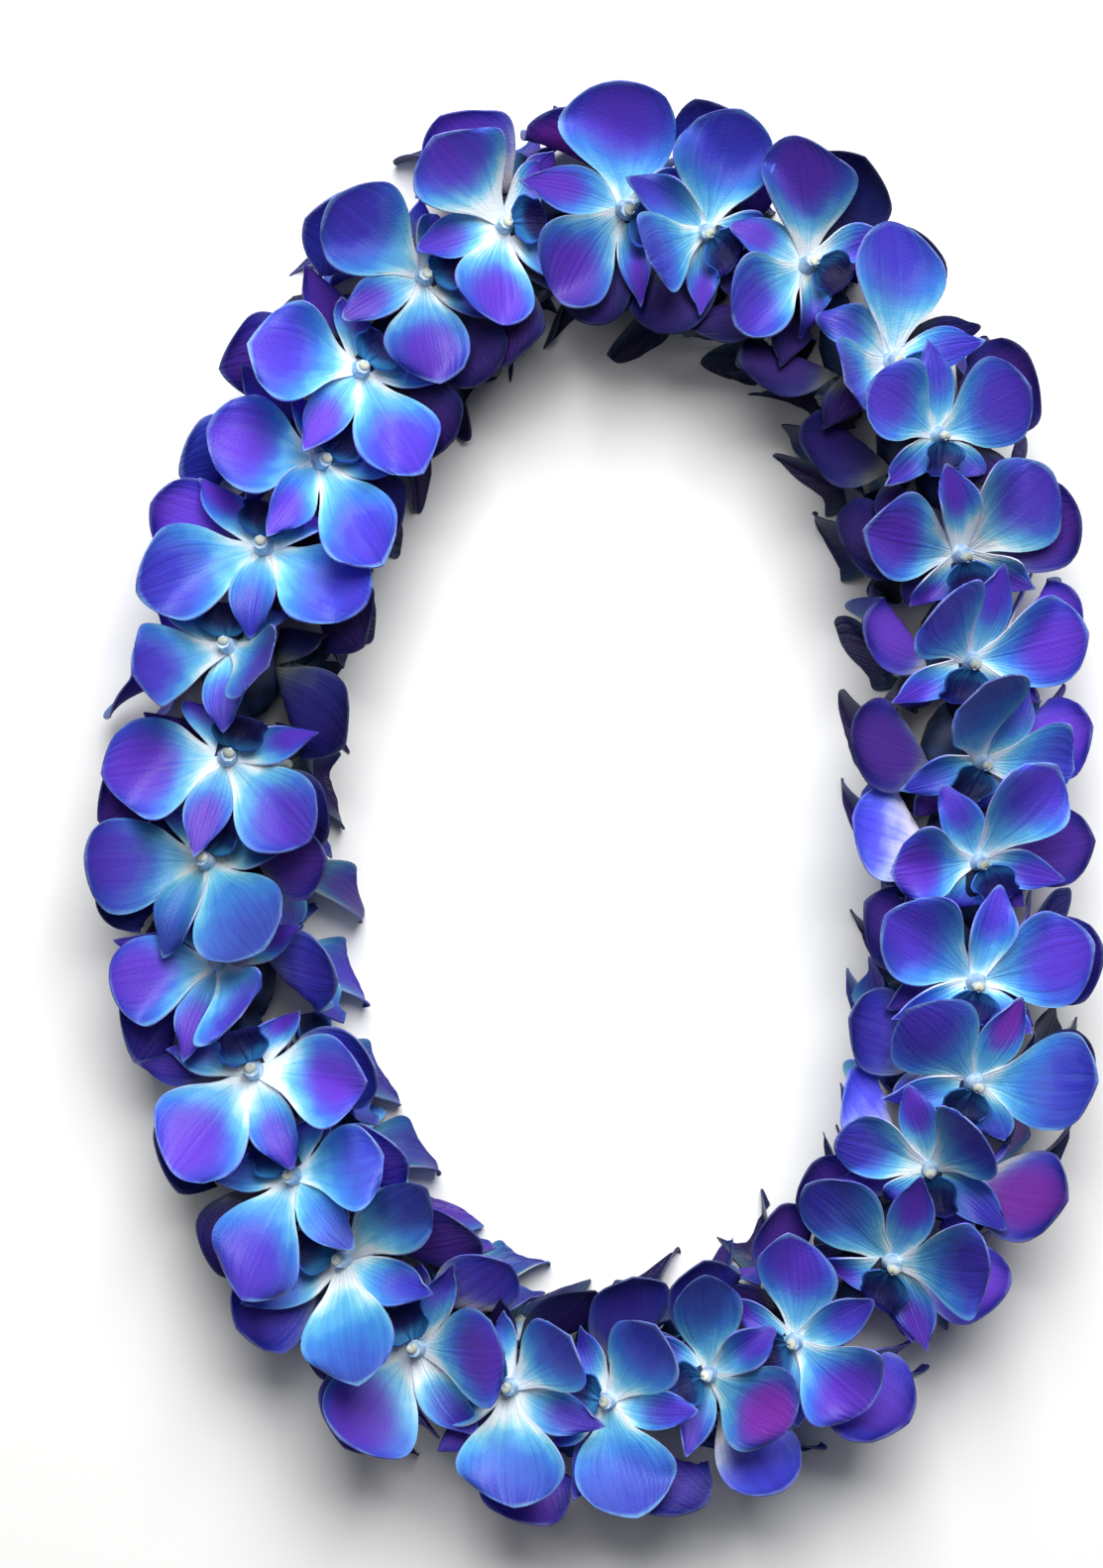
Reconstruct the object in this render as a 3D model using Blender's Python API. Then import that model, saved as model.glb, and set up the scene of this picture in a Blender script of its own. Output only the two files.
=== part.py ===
"""Fresh flower lei: ninety orchid blooms strung in whorls of three on one looped thread.

Lengths are millimetres until MM turns them into metres. The loop lies flat, its long way is Y,
and it rests on Z = 0.
"""
import math
import random

import bpy
from mathutils import Vector

MM = 0.001

# The loop: an oval with slightly pointed ends, drawn by its arc. Turns once for t from 0 to 1.
HALF_WIDTH = 111.7
HALF_LENGTH = 158.8
END_POINT = 7.6
# Hand-laid unevenness of the oval: turns per loop, size, start angle in degrees.
UNEVEN = ((-2, 1.8, -133.0), (-4, 1.4, 179.0), (4, 1.2, 149.0))

SEED = 40
WHORLS = 30
COLUMNS = 3
THREAD_R = 0.55
# Straight runs of the thread in each whorl.
THREAD_STEPS = 3
BORE_R = 1.15
SLEEVE_R = 5.2
# The part of a whorl's length along the thread that its sleeve takes.
SLEEVE_SHARE = 1 / 3
AXIS_Z = 14.5

# One bloom's face. x points to the tip of the dorsal sepal, y sideways and above stands off the face.
# The hub is the middle of the face, and it stands this far from the thread in each column of blooms.
HUB_RADII = (14.0, 11.0, 11.0)
HUB_HALF = 3.6
# The bloom's own column: the short post in its middle, which leans back a little as it rises.
POST_HIGH = 8.0
POST_TIP = 1.9
POST_LEAN = -1.0
# The face opens outwards to its front, and its back blades lie flatter and slip under the next bloom.
FRONT_RISE = 0.6
BACK_RISE = 0.1
BACK_REACH = 14.5
NECK_HALF = 2.6
NECK_ROOT = 3.2
BLADE = 0.8
SEPAL_LONG = 25.5
SEPAL_WIDE = 13.0
SIDE_SEPAL_LONG = 26.5
PETAL_LONG = 32.0
PETAL_WIDE = 26.0
PETAL_ANGLE = 65.0
SIDE_SEPAL_ANGLE = 136.0
# How much the blades of a bloom differ: turn in degrees, share of the length, lift and wave.
BLADE_TURN = 3.0
BLADE_STRETCH = 0.05
BLADE_LIFT = 1.0
BLADE_WAVE = 1.3
# Some petals stay half closed. The share of them in each column, and how far such a petal leans up
# at its root and curls in towards its tip, in radians.
CLOSING = (0.45, 0.05, 0.05)
LEAN = 0.4
CURL = 1.0

# One column of blooms faces up all round the loop, leaning a little outwards, and two stand at its sides.
# The lean sways twice round the loop, as the hand that laid it down rolled it.
COLUMN_LEAN = 3.0
COLUMN_SWAY = 6.0
SWAY_START = 0.1
COLUMN_TURNS = (0.0, 98.0, -98.0)
# How much the blooms at the sides tip their faces up, by the table that pushes at their lower petals.
FACE_UP = (0.0, -0.55, 0.55)
# How freely the blooms of each column turn and tip; those on top are held by nothing.
LOOSE = (1.4, 1.0, 0.9)
SLIDE = 3.2
ROLL = 10.0
YAW = 24.0
SMALLEST = 0.89
LARGEST = 1.06
TIP_FORWARD = 0.08
TIP_SIDEWAYS = 0.10
# A bend of the loop spreads the blooms outside it and crowds those inside it, as if this far from the thread.
BEND_REACH = 20.0

# How far each column's share of the tube reaches, towards smaller and larger angles.
SHARES = ((50.0, 50.0), (48.0, 82.0), (82.0, 48.0))
# The room kept from the edge of a share, and how softly petals fold there.
CLEAR = 0.7
FOLD = 1.5
# Folded petals lie over the next bloom's in layers, by this rise a millimetre along the thread.
LAYER = 0.11

# How the table presses the flowers under the thread: what hangs lower than this under the thread is
# squeezed to a share of its height, and what comes near the table settles flat on it.
PRESS_FROM = -6.0
PRESS = 0.6
SETTLE = 1.2
SETTLE_FLOOR = 0.5
TABLE = 0.3

# Steps of the table of arc length, and the reach over which the loop's heading and bend are read.
SAMPLES = 1440
HEADING_REACH = 4.0
BEND_STEP = 6.0


def oval(t):
    a = 2 * math.pi * t
    x = HALF_WIDTH * math.cos(a) - END_POINT * math.cos(3 * a)
    y = HALF_LENGTH * math.sin(a) - END_POINT * math.sin(3 * a)
    for turns, size, start in UNEVEN:
        x += size * math.cos(turns * a + math.radians(start))
        y += size * math.sin(turns * a + math.radians(start))
    return x, y


ring = [oval(i / SAMPLES) for i in range(SAMPLES + 1)]
arc = [0.0]
for i in range(SAMPLES):
    arc.append(arc[-1] + math.dist(ring[i], ring[i + 1]))
LOOP = arc[-1]
PITCH = LOOP / WHORLS


def on_loop(s):
    """The point of the loop at arc length s."""
    s %= LOOP
    low, high = 0, SAMPLES
    while high - low > 1:
        mid = (low + high) // 2
        if arc[mid] <= s:
            low = mid
        else:
            high = mid
    t = (s - arc[low]) / (arc[high] - arc[low])
    (x0, y0), (x1, y1) = ring[low], ring[high]
    return Vector((x0 + (x1 - x0) * t, y0 + (y1 - y0) * t))


def heading(s):
    """The way the loop runs at s, as an angle."""
    d = on_loop(s + HEADING_REACH) - on_loop(s - HEADING_REACH)
    return math.atan2(d.y, d.x)


def bend(s):
    """How sharply the loop turns at s, in radians a millimetre."""
    turn = heading(s + BEND_STEP) - heading(s - BEND_STEP)
    return ((turn + math.pi) % (2 * math.pi) - math.pi) / (2 * BEND_STEP)


def in_tube(s, out, up):
    """A point of the tube of flowers, from its arc length, its reach out of the loop and its height."""
    c = on_loop(s)
    a = heading(s)
    return Vector((c.x + math.sin(a) * out, c.y - math.cos(a) * out, up))


def pressed(up):
    """Height above the table of what stands up above the thread's axis by that much."""
    if up < PRESS_FROM:
        up = PRESS_FROM + PRESS * (up - PRESS_FROM)
    z = up + AXIS_Z
    if z < SETTLE:
        room = SETTLE - SETTLE_FLOOR
        z = SETTLE_FLOOR + room * math.exp((z - SETTLE) / room)
    return z


def column_angle(s, column):
    """Where the middle of a column of blooms stands round the thread at s, 0 being straight up."""
    sway = COLUMN_SWAY * math.sin(2 * math.pi * (2 * s / LOOP + SWAY_START))
    return math.radians(COLUMN_LEAN + sway + COLUMN_TURNS[column])


class Bloom:
    """Where one bloom sits and how it differs from its neighbours."""

    def __init__(self, whorl, column):
        rng = random.Random(1000 * whorl + 10 * column + SEED)
        self.rng = rng
        self.column = column
        self.s = (whorl + 0.5) * PITCH + rng.uniform(-SLIDE, SLIDE)
        loose = LOOSE[column]
        self.around = column_angle(self.s, column) + math.radians(ROLL * loose * rng.uniform(-1.0, 1.0))
        self.yaw = math.radians(YAW * loose * rng.uniform(-1.0, 1.0))
        self.size = rng.uniform(SMALLEST, LARGEST)
        self.tilt_x = TIP_FORWARD * loose * rng.uniform(-1.0, 1.0)
        self.tilt_y = TIP_SIDEWAYS * loose * rng.uniform(-1.0, 1.0) + FACE_UP[column]
        self.stretch = 1 + bend(self.s) * BEND_REACH * math.sin(self.around)

    def at(self, x, y, above):
        """A point of the bloom at x, y in its own face and above its sheet."""
        x, y, above = x * self.size, y * self.size, above * self.size
        c, n = math.cos(self.yaw), math.sin(self.yaw)
        x, y = x * c - y * n, x * n + y * c
        # Blooms crowded into the inside of a bend stand up more steeply.
        rise = FRONT_RISE / min(1.0, self.stretch) if x > 0 else BACK_RISE
        radius = HUB_RADII[self.column] + rise * x + self.tilt_x * x + self.tilt_y * y + above
        return self.place(x, y, radius)

    def place(self, x, y, radius):
        """A point of the tube of flowers from the bloom's own x and y and its distance from the thread."""
        along = x / self.stretch
        if along < 0:
            along = BACK_REACH * math.tanh(along / BACK_REACH)
        s = self.s + along
        c, n = math.cos(self.around), math.sin(self.around)
        out = radius * n - y * c
        up = radius * c + y * n
        # Each column keeps to its share of the tube, and its petals fold up where they meet the next column's.
        middle = column_angle(s, self.column)
        c, n = math.cos(middle), math.sin(middle)
        side = out * c - up * n
        radius = out * n + up * c
        share = math.radians(SHARES[self.column][side > 0])
        room = CLEAR + LAYER * max(0.0, x + BACK_REACH)
        least = (abs(side) * math.cos(share) + room) / math.sin(share)
        radius = (radius + least + math.hypot(radius - least, FOLD)) / 2
        return in_tube(s, radius * n + side * c, pressed(radius * c - side * n))


def bent(t, lean, curl):
    """How far along and above the face a share t of a blade's length reaches, if it leans up and curls."""
    if curl == 0.0:
        return t, 0.0
    end = lean + curl * t
    return (math.sin(end) - math.sin(lean)) / curl, (math.cos(lean) - math.cos(end)) / curl


def tepal(angle, long, wide, outline, arch, wave, closed):
    """One blade: its outline points as (along, across, above) in the bloom's face."""
    c, n = math.cos(math.radians(angle)), math.sin(math.radians(angle))
    points = []
    for t, u in outline:
        along, rise = bent(t, LEAN * closed, CURL * closed)
        x, y = long * along, wide / 2 * u
        above = long * rise + arch[0] * t + arch[1] * t * t + wave * u * t
        points.append((x * c - y * n, x * n + y * c, above))
    return points


# Outlines as (along, across) in shares of a blade's length and half its width, from the clockwise
# edge over the tip to the other edge. The last point of a petal is its middle.
SEPAL_LINE = ((0.46, -1.0), (1.0, 0.0), (0.46, 1.0))
PETAL_LINE = ((0.30, -0.40), (0.66, -0.96), (0.95, -0.50), (0.95, 0.50), (0.66, 0.96), (0.30, 0.40), (0.52, 0.0))
# The corners of the hub stand between the tepals, and the last two hold the lip between them.
HUB_CORNERS = (-105.0, -32.0, 32.0, 105.0, 166.0, 194.0)
NECK_CORNERS = (-70.0, 70.0, 180.0)
LIP_LOW = 4.6
LIP_LINE = ((-9.0, 7.2, 7.2), (-15.5, 3.6, 5.4), (-15.5, -3.6, 5.4), (-9.0, -7.2, 7.2))


def bloom_mesh(bloom):
    """Vertices and faces of one bloom, a closed solid: tepals, column, lip and neck."""
    rng = bloom.rng
    # Each blade with the two corners of the hub that it grows between.
    tepals = (
        (-PETAL_ANGLE, PETAL_LONG, PETAL_WIDE, PETAL_LINE, (2.5, -1.5), 0, 1),
        (0.0, SEPAL_LONG, SEPAL_WIDE, SEPAL_LINE, (0.0, -2.5), 1, 2),
        (PETAL_ANGLE, PETAL_LONG, PETAL_WIDE, PETAL_LINE, (2.5, -1.5), 2, 3),
        (SIDE_SEPAL_ANGLE, SIDE_SEPAL_LONG, SEPAL_WIDE, SEPAL_LINE, (0.8, 0.0), 3, 4),
        (-SIDE_SEPAL_ANGLE, SIDE_SEPAL_LONG, SEPAL_WIDE, SEPAL_LINE, (0.8, 0.0), 5, 0),
    )
    flat = []
    for corner in HUB_CORNERS:
        a = math.radians(corner)
        flat.append((HUB_HALF * math.cos(a), HUB_HALF * math.sin(a), 0.0))
    faces = []
    edges = [(4, 5)]
    for angle, long, wide, line, arch, start, end in tepals:
        turn = rng.uniform(-BLADE_TURN, BLADE_TURN)
        long *= rng.uniform(1 - BLADE_STRETCH, 1 + BLADE_STRETCH)
        lift = rng.uniform(-BLADE_LIFT, BLADE_LIFT)
        wave = rng.uniform(-BLADE_WAVE, BLADE_WAVE)
        closed = max(0.0, 1 - rng.uniform(0.0, 1.0) / CLOSING[bloom.column]) if line is PETAL_LINE else 0.0
        first = len(flat)
        flat.extend(tepal(angle + turn, long, wide, line, (arch[0] + lift, arch[1]), wave, closed))
        if len(line) == 3:
            a, tip, b = first, first + 1, first + 2
            faces += [(start, a, b), (start, b, end), (a, tip, b)]
            round_it = [start, a, tip, b, end]
        else:
            mid = first + 6
            round_it = [start, *range(first, mid), end]
            loop = round_it + [start]
            for p, q in zip(loop, loop[1:]):
                faces.append((p, q, mid))
        edges += list(zip(round_it, round_it[1:]))
    middle = [bloom.at(*p) for p in flat]
    normals = [Vector() for _ in middle]
    for a, b, c in faces:
        n = (middle[b] - middle[a]).cross(middle[c] - middle[a])
        for k in (a, b, c):
            normals[k] += n
    normals = [n.normalized() for n in normals]
    count = len(middle)
    verts = [m + n * BLADE / 2 for m, n in zip(middle, normals)]
    verts += [m - n * BLADE / 2 for m, n in zip(middle, normals)]
    out = list(faces) + [(c + count, b + count, a + count) for a, b, c in faces]
    for a, b in edges:
        out += [(a, a + count, b + count), (a, b + count, b)]
    # The post rises from the hub's upper side. Its two back edges hold the lip between them.
    tips = []
    for corner in HUB_CORNERS:
        a = math.radians(corner)
        tips.append(len(verts))
        verts.append(bloom.at(POST_TIP * math.cos(a) + POST_LEAN, POST_TIP * math.sin(a), POST_HIGH))
    low = [len(verts), len(verts) + 1]
    high = [len(verts) + 2, len(verts) + 3]
    for above in (LIP_LOW, LIP_LOW + BLADE):
        for corner in HUB_CORNERS[4:]:
            a = math.radians(corner)
            share = above / POST_HIGH
            reach = HUB_HALF + (POST_TIP - HUB_HALF) * share
            verts.append(bloom.at(reach * math.cos(a) + POST_LEAN * share, reach * math.sin(a), above))
    for i in (0, 1, 2):
        out += [(i, i + 1, tips[i + 1]), (i, tips[i + 1], tips[i])]
    out += [(3, 4, low[0]), (3, low[0], high[0]), (3, high[0], tips[3]), (high[0], tips[4], tips[3])]
    out += [(4, 5, low[1]), (4, low[1], low[0]), (high[0], high[1], tips[5]), (high[0], tips[5], tips[4])]
    out += [(5, 0, low[1]), (low[1], 0, high[1]), (high[1], 0, tips[0]), (high[1], tips[0], tips[5])]
    for i in (1, 2, 3, 4):
        out.append((tips[0], tips[i], tips[i + 1]))
    # The lip: a folded blade, its two outer corners on each side.
    top, under = [], []
    for x, y, above in LIP_LINE:
        top.append(len(verts))
        verts.append(bloom.at(x, y, above))
        under.append(len(verts))
        verts.append(bloom.at(x, y, above - BLADE))
    top = [high[0], *top, high[1]]
    under = [low[0], *under, low[1]]
    for a, b, c in ((0, 1, 4), (0, 4, 5), (1, 2, 3), (1, 3, 4)):
        out.append((top[a], top[b], top[c]))
        out.append((under[c], under[b], under[a]))
    for i in range(5):
        out += [(top[i], under[i], under[i + 1]), (top[i], under[i + 1], top[i + 1])]
    # The neck narrows to three corners inside the sleeve.
    roots = []
    for corner in NECK_CORNERS:
        a = math.radians(corner)
        roots.append(len(verts))
        verts.append(bloom.place(NECK_HALF * math.cos(a), NECK_HALF * math.sin(a), NECK_ROOT))
    hub = [k + count for k in range(6)]
    out += [(hub[1], hub[0], roots[0]), (hub[2], hub[1], roots[0]), (hub[2], roots[0], roots[1])]
    out += [(hub[3], hub[2], roots[1]), (hub[4], hub[3], roots[1]), (hub[4], roots[1], roots[2])]
    out += [(hub[5], hub[4], roots[2]), (hub[0], hub[5], roots[2]), (hub[0], roots[2], roots[0])]
    out.append((roots[0], roots[2], roots[1]))
    return verts, out


def sleeve_mesh(whorl):
    """The joined necks: a short six-sided sleeve round the thread, open end to end."""
    verts, faces = [], []
    sides = 6
    for end in (-1, 1):
        s = (whorl + 0.5 + end * SLEEVE_SHARE / 2) * PITCH
        for radius in (SLEEVE_R, BORE_R):
            for k in range(sides):
                a = 2 * math.pi * k / sides
                verts.append(in_tube(s, radius * math.sin(a), AXIS_Z + radius * math.cos(a)))
    for k in range(sides):
        j = (k + 1) % sides
        faces.append((k, j, j + 12, k + 12))
        faces.append((k + 18, j + 18, j + 6, k + 6))
        faces.append((k + 6, j + 6, j, k))
        faces.append((12 + k, 12 + j, 18 + j, 18 + k))
    return verts, faces


def thread_mesh():
    """The thread: a closed five-sided cord round the whole loop."""
    verts, faces = [], []
    rings, sides = WHORLS * THREAD_STEPS, 5
    for i in range(rings):
        s = i * PITCH / THREAD_STEPS
        for k in range(sides):
            a = 2 * math.pi * k / sides
            verts.append(in_tube(s, THREAD_R * math.sin(a), AXIS_Z + THREAD_R * math.cos(a)))
    for i in range(rings):
        j = (i + 1) % rings
        for k in range(sides):
            m = (k + 1) % sides
            faces.append((i * sides + k, i * sides + m, j * sides + m, j * sides + k))
    return verts, faces


def material(name, colour, roughness):
    m = bpy.data.materials.new(name)
    m.use_nodes = True
    shader = m.node_tree.nodes["Principled BSDF"]
    shader.inputs["Base Color"].default_value = (*colour, 1.0)
    shader.inputs["Roughness"].default_value = roughness
    return m


def solid(name, verts, faces):
    mesh = bpy.data.meshes.new(name)
    mesh.from_pydata([v * MM for v in verts], [], faces)
    mesh.validate()
    mesh.update()
    obj = bpy.data.objects.new(name, mesh)
    bpy.context.scene.collection.objects.link(obj)
    return obj


def joined(name, pieces):
    """One body from a sleeve and what grows from it."""
    body = solid(name, *pieces[0])
    group = bpy.data.collections.new(name + "_group")
    bpy.context.scene.collection.children.link(group)
    helpers = []
    for number, piece in enumerate(pieces[1:]):
        helper = solid(f"{name}_helper_{number}", *piece)
        bpy.context.scene.collection.objects.unlink(helper)
        group.objects.link(helper)
        helpers.append(helper)
    union = body.modifiers.new("join", "BOOLEAN")
    union.operation = "UNION"
    union.operand_type = "COLLECTION"
    union.collection = group
    union.solver = "MANIFOLD"
    bpy.context.view_layer.objects.active = body
    for other in bpy.context.selected_objects:
        other.select_set(False)
    body.select_set(True)
    bpy.ops.object.modifier_apply(modifier=union.name)
    for helper in helpers:
        bpy.data.objects.remove(helper, do_unlink=True)
    bpy.data.collections.remove(group)
    return body


def rest_on_table(obj):
    """Lowers a whorl onto the table and presses what would go through it flat."""
    for v in obj.data.vertices:
        v.co.z = max(v.co.z - TABLE * MM, 0.0)


for old in list(bpy.data.objects):
    bpy.data.objects.remove(old, do_unlink=True)

petal = material("petal", (0.07, 0.12, 0.58), 0.55)
cotton = material("cotton", (0.75, 0.75, 0.70), 0.9)

made = []
for whorl in range(WHORLS):
    pieces = [sleeve_mesh(whorl)]
    for column in range(COLUMNS):
        bloom = Bloom(whorl, column)
        pieces.append(bloom_mesh(bloom))
    body = joined(f"whorl_{whorl + 1:02d}", pieces)
    rest_on_table(body)
    body.data.materials.clear()
    body.data.materials.append(petal)
    made.append(body)

thread = solid("thread", *thread_mesh())
rest_on_table(thread)
thread.data.materials.append(cotton)
made.append(thread)

# The whole lei is set with the middle of its box over the origin.
xs = [v.co.x for o in made for v in o.data.vertices]
ys = [v.co.y for o in made for v in o.data.vertices]
middle = Vector(((min(xs) + max(xs)) / 2, (min(ys) + max(ys)) / 2, 0.0))
for obj in made:
    for v in obj.data.vertices:
        v.co -= middle
    obj.data.update()
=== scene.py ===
# %% [markdown]
# A fresh flower lei, laid flat.
# Ninety dyed dendrobium orchid blooms stand in whorls of three round one looped cotton thread.
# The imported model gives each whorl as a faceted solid. Here every bloom is modelled again, thin and
# curved, in the same place, from the same rules of placing as the source of the solids.

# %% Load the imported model
import math
import random

import bpy
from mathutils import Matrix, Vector


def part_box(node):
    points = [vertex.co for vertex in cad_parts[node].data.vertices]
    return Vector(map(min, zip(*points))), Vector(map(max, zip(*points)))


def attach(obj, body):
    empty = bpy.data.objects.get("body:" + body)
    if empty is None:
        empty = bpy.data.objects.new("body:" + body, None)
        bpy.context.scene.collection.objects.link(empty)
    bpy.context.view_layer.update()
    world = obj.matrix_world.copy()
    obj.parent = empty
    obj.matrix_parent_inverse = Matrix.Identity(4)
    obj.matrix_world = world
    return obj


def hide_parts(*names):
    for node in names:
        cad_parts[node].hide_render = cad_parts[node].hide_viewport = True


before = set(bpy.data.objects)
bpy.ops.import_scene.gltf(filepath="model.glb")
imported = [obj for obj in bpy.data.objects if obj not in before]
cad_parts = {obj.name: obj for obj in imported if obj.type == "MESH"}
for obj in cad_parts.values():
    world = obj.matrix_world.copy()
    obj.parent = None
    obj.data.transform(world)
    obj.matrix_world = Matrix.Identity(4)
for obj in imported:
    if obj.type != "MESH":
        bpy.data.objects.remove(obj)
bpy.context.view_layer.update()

MM = 0.001

# %% [markdown]
# Colours are picked as sRGB hex values, the way a painter reads them off a screen. Blender's shaders
# reckon in linear light, so one function turns a hex value into linear numbers, once and for all.
# Every shader node is made by one small function too: it sets what is a plain value and links what
# comes from another node.

# %% Colour and node helpers
def tone(code):
    """Linear colour from an sRGB hex code such as #4A50D8."""
    values = [int(code[i:i + 2], 16) / 255 for i in (1, 3, 5)]
    return [v / 12.92 if v <= 0.04045 else ((v + 0.055) / 1.055) ** 2.4 for v in values] + [1.0]


def node(tree, kind, inputs=None, stops=None, **settings):
    """Adds a shader node. An input is a value or another node's output; stops are a ramp's colours."""
    made = tree.nodes.new("ShaderNode" + kind)
    for name, value in settings.items():
        setattr(made, name, value)
    for name, value in (inputs or {}).items():
        if isinstance(value, bpy.types.NodeSocket):
            tree.links.new(value, made.inputs[name])
        else:
            made.inputs[name].default_value = value
    for number, (place, code) in enumerate(stops or ()):
        ramp = made.color_ramp.elements
        stop = ramp[number] if number < 2 else ramp.new(place)
        stop.position = place
        stop.color = tone(code)
    return made


def finish(name):
    """A new material with its node tree and its Principled shader."""
    made = bpy.data.materials.new(name)
    made.use_nodes = True
    return made, made.node_tree, made.node_tree.nodes["Principled BSDF"]


# %% [markdown]
# Where a blade's colours lie. A white dendrobium that has drunk blue dye stays almost white at its
# throat, turns sky blue further out, then blue, and violet in the outer half of each petal. The dye
# runs in fine streaks that fan out from the root, and a thin pale rim is left. All this follows the
# petal, so it is drawn on its own UV map: U runs across from edge to edge, V from root to tip.
# Each blade also carries a mood of its own in a vertex attribute, so that no two look alike;
# its lightness also carries painted shade.

# %% Marks on a blade
# Noise scales are for a metre. The streaks are counted over half a blade's width, and each blade's
# mood moves it to another part of the noise.
CLOUD_SCALE = 110.0
STREAKS = 7.0
STREAK_RUN = 0.9
STREAK_DRAW = 40.0
GRAIN_SCALE = 1600.0


def blade_marks(tree):
    """The sockets that the patterns of a blade are drawn from."""
    place = node(tree, "TexCoord")
    split = node(tree, "SeparateXYZ", {"Vector": place.outputs["UV"]})
    mood = node(tree, "Attribute", attribute_name="mood")
    moods = node(tree, "SeparateColor", {"Color": mood.outputs["Color"]})
    # Clouds about 9 mm wide where the dye has taken unevenly.
    cloud = node(tree, "TexNoise", {"Vector": place.outputs["Object"], "Scale": CLOUD_SCALE, "Detail": 3.0})
    centred = node(tree, "MapRange", {"Value": split.outputs["X"], "To Min": -1.0, "To Max": 1.0})
    across = node(tree, "Math", {0: centred.outputs[0]}, operation="ABSOLUTE")
    square = node(tree, "Math", {0: across.outputs[0], 1: 2.0}, operation="POWER")
    # Streaks that fan out with the petal: noise drawn out along it, a new draw for every blade.
    fan = node(tree, "Math", {0: centred.outputs[0], 1: STREAKS}, operation="MULTIPLY")
    drawn = node(tree, "Math", {0: split.outputs["Y"], 1: STREAK_RUN}, operation="MULTIPLY")
    own = node(tree, "Math", {0: moods.outputs["Red"], 1: STREAK_DRAW}, operation="MULTIPLY")
    fanned = node(tree, "CombineXYZ", {"X": fan.outputs[0], "Y": drawn.outputs[0], "Z": own.outputs[0]})
    streak = node(tree, "TexNoise", {"Vector": fanned.outputs[0], "Scale": 1.0, "Detail": 2.0})
    # The fine grain of the skin, 0.6 mm.
    grain = node(tree, "TexNoise", {"Vector": place.outputs["Object"], "Scale": GRAIN_SCALE, "Detail": 1.0})
    return {"along": split.outputs["Y"], "across": across.outputs[0], "square": square.outputs[0],
            "cloud": cloud.outputs["Fac"], "streak": streak.outputs["Fac"], "grain": grain.outputs["Fac"],
            "violet": moods.outputs["Red"], "paler": moods.outputs["Green"],
            "light": moods.outputs["Blue"], "magenta": mood.outputs["Alpha"]}


# %% [markdown]
# The dye itself. A ramp gives its colours from the root to the tip. What is fed into the ramp is the
# place along the blade, pushed back and forth by the clouds and the streaks, and pulled back along
# the edges, most of all beside the root, where the petal stays paler. The violet patch is laid on
# as an ellipse.

# %% The dye
# How far the clouds, the streaks, the mood and the edges push the dye along the blade, in shares of
# its length. Then how narrow the violet patch is, and how far out it ends.
CLOUD_SHIFT = 0.34
STREAK_SHIFT = -0.24
PALER_SHIFT = -0.30
EDGE_PALER = 0.20
EDGE_PALER_ROOT = -0.27
PATCH_NARROW = 1.3
PATCH_END = 1.1
MAGENTA_DYE = "#AC3CD2"


def dyed(tree, marks, stops, patch, patch_size):
    """The colour of a blade from its dye, before its rim and veins."""
    shifted = node(tree, "Math", {0: marks["cloud"], 1: CLOUD_SHIFT, 2: marks["along"]},
                   operation="MULTIPLY_ADD")
    rootward = node(tree, "Math", {0: marks["along"], 1: EDGE_PALER, 2: EDGE_PALER_ROOT},
                    operation="MULTIPLY_ADD")
    level = node(tree, "Math", {0: marks["square"], 1: rootward.outputs[0], 2: shifted.outputs[0]},
                 operation="MULTIPLY_ADD")
    pushed = node(tree, "Math", {0: marks["paler"], 1: PALER_SHIFT, 2: level.outputs[0]},
                  operation="MULTIPLY_ADD")
    streaked = node(tree, "Math", {0: marks["streak"], 1: STREAK_SHIFT, 2: pushed.outputs[0]},
                    operation="MULTIPLY_ADD")
    dye = node(tree, "ValToRGB", {"Fac": streaked.outputs[0]}, stops=stops)
    # The violet patch round the middle of the blade.
    centre, reach = patch_size
    away = node(tree, "Math", {0: marks["along"], 1: centre}, operation="SUBTRACT")
    far = node(tree, "Math", {0: away.outputs[0], 1: reach}, operation="DIVIDE")
    far_square = node(tree, "Math", {0: far.outputs[0], 1: 2.0}, operation="POWER")
    ellipse = node(tree, "Math", {0: marks["square"], 1: PATCH_NARROW, 2: far_square.outputs[0]},
                   operation="MULTIPLY_ADD")
    inside = node(tree, "MapRange", {"Value": ellipse.outputs[0], "From Min": PATCH_END, "From Max": 0.0},
                  interpolation_type="SMOOTHSTEP")
    strength = node(tree, "Math", {0: inside.outputs[0], 1: marks["violet"]}, operation="MULTIPLY")
    violet = node(tree, "Mix", {0: strength.outputs[0], 6: dye.outputs["Color"], 7: tone(patch)},
                  data_type="RGBA")
    # A few petals are magenta, where another dye has run in.
    share = node(tree, "Math", {0: inside.outputs[0], 1: marks["magenta"]}, operation="MULTIPLY")
    reddened = node(tree, "Mix", {0: share.outputs[0], 6: violet.outputs[2], 7: tone(MAGENTA_DYE)},
                    data_type="RGBA")
    return reddened.outputs[2]


# %% [markdown]
# Dyed petal, upper face. A living petal is soft and waxy, IOR about 1.4, with a dull gloss. The rim
# is about a millimetre wide and broken, so it doesn't look drawn on. The streaks are also shallow
# furrows in the skin, which a bump gives.

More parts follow.
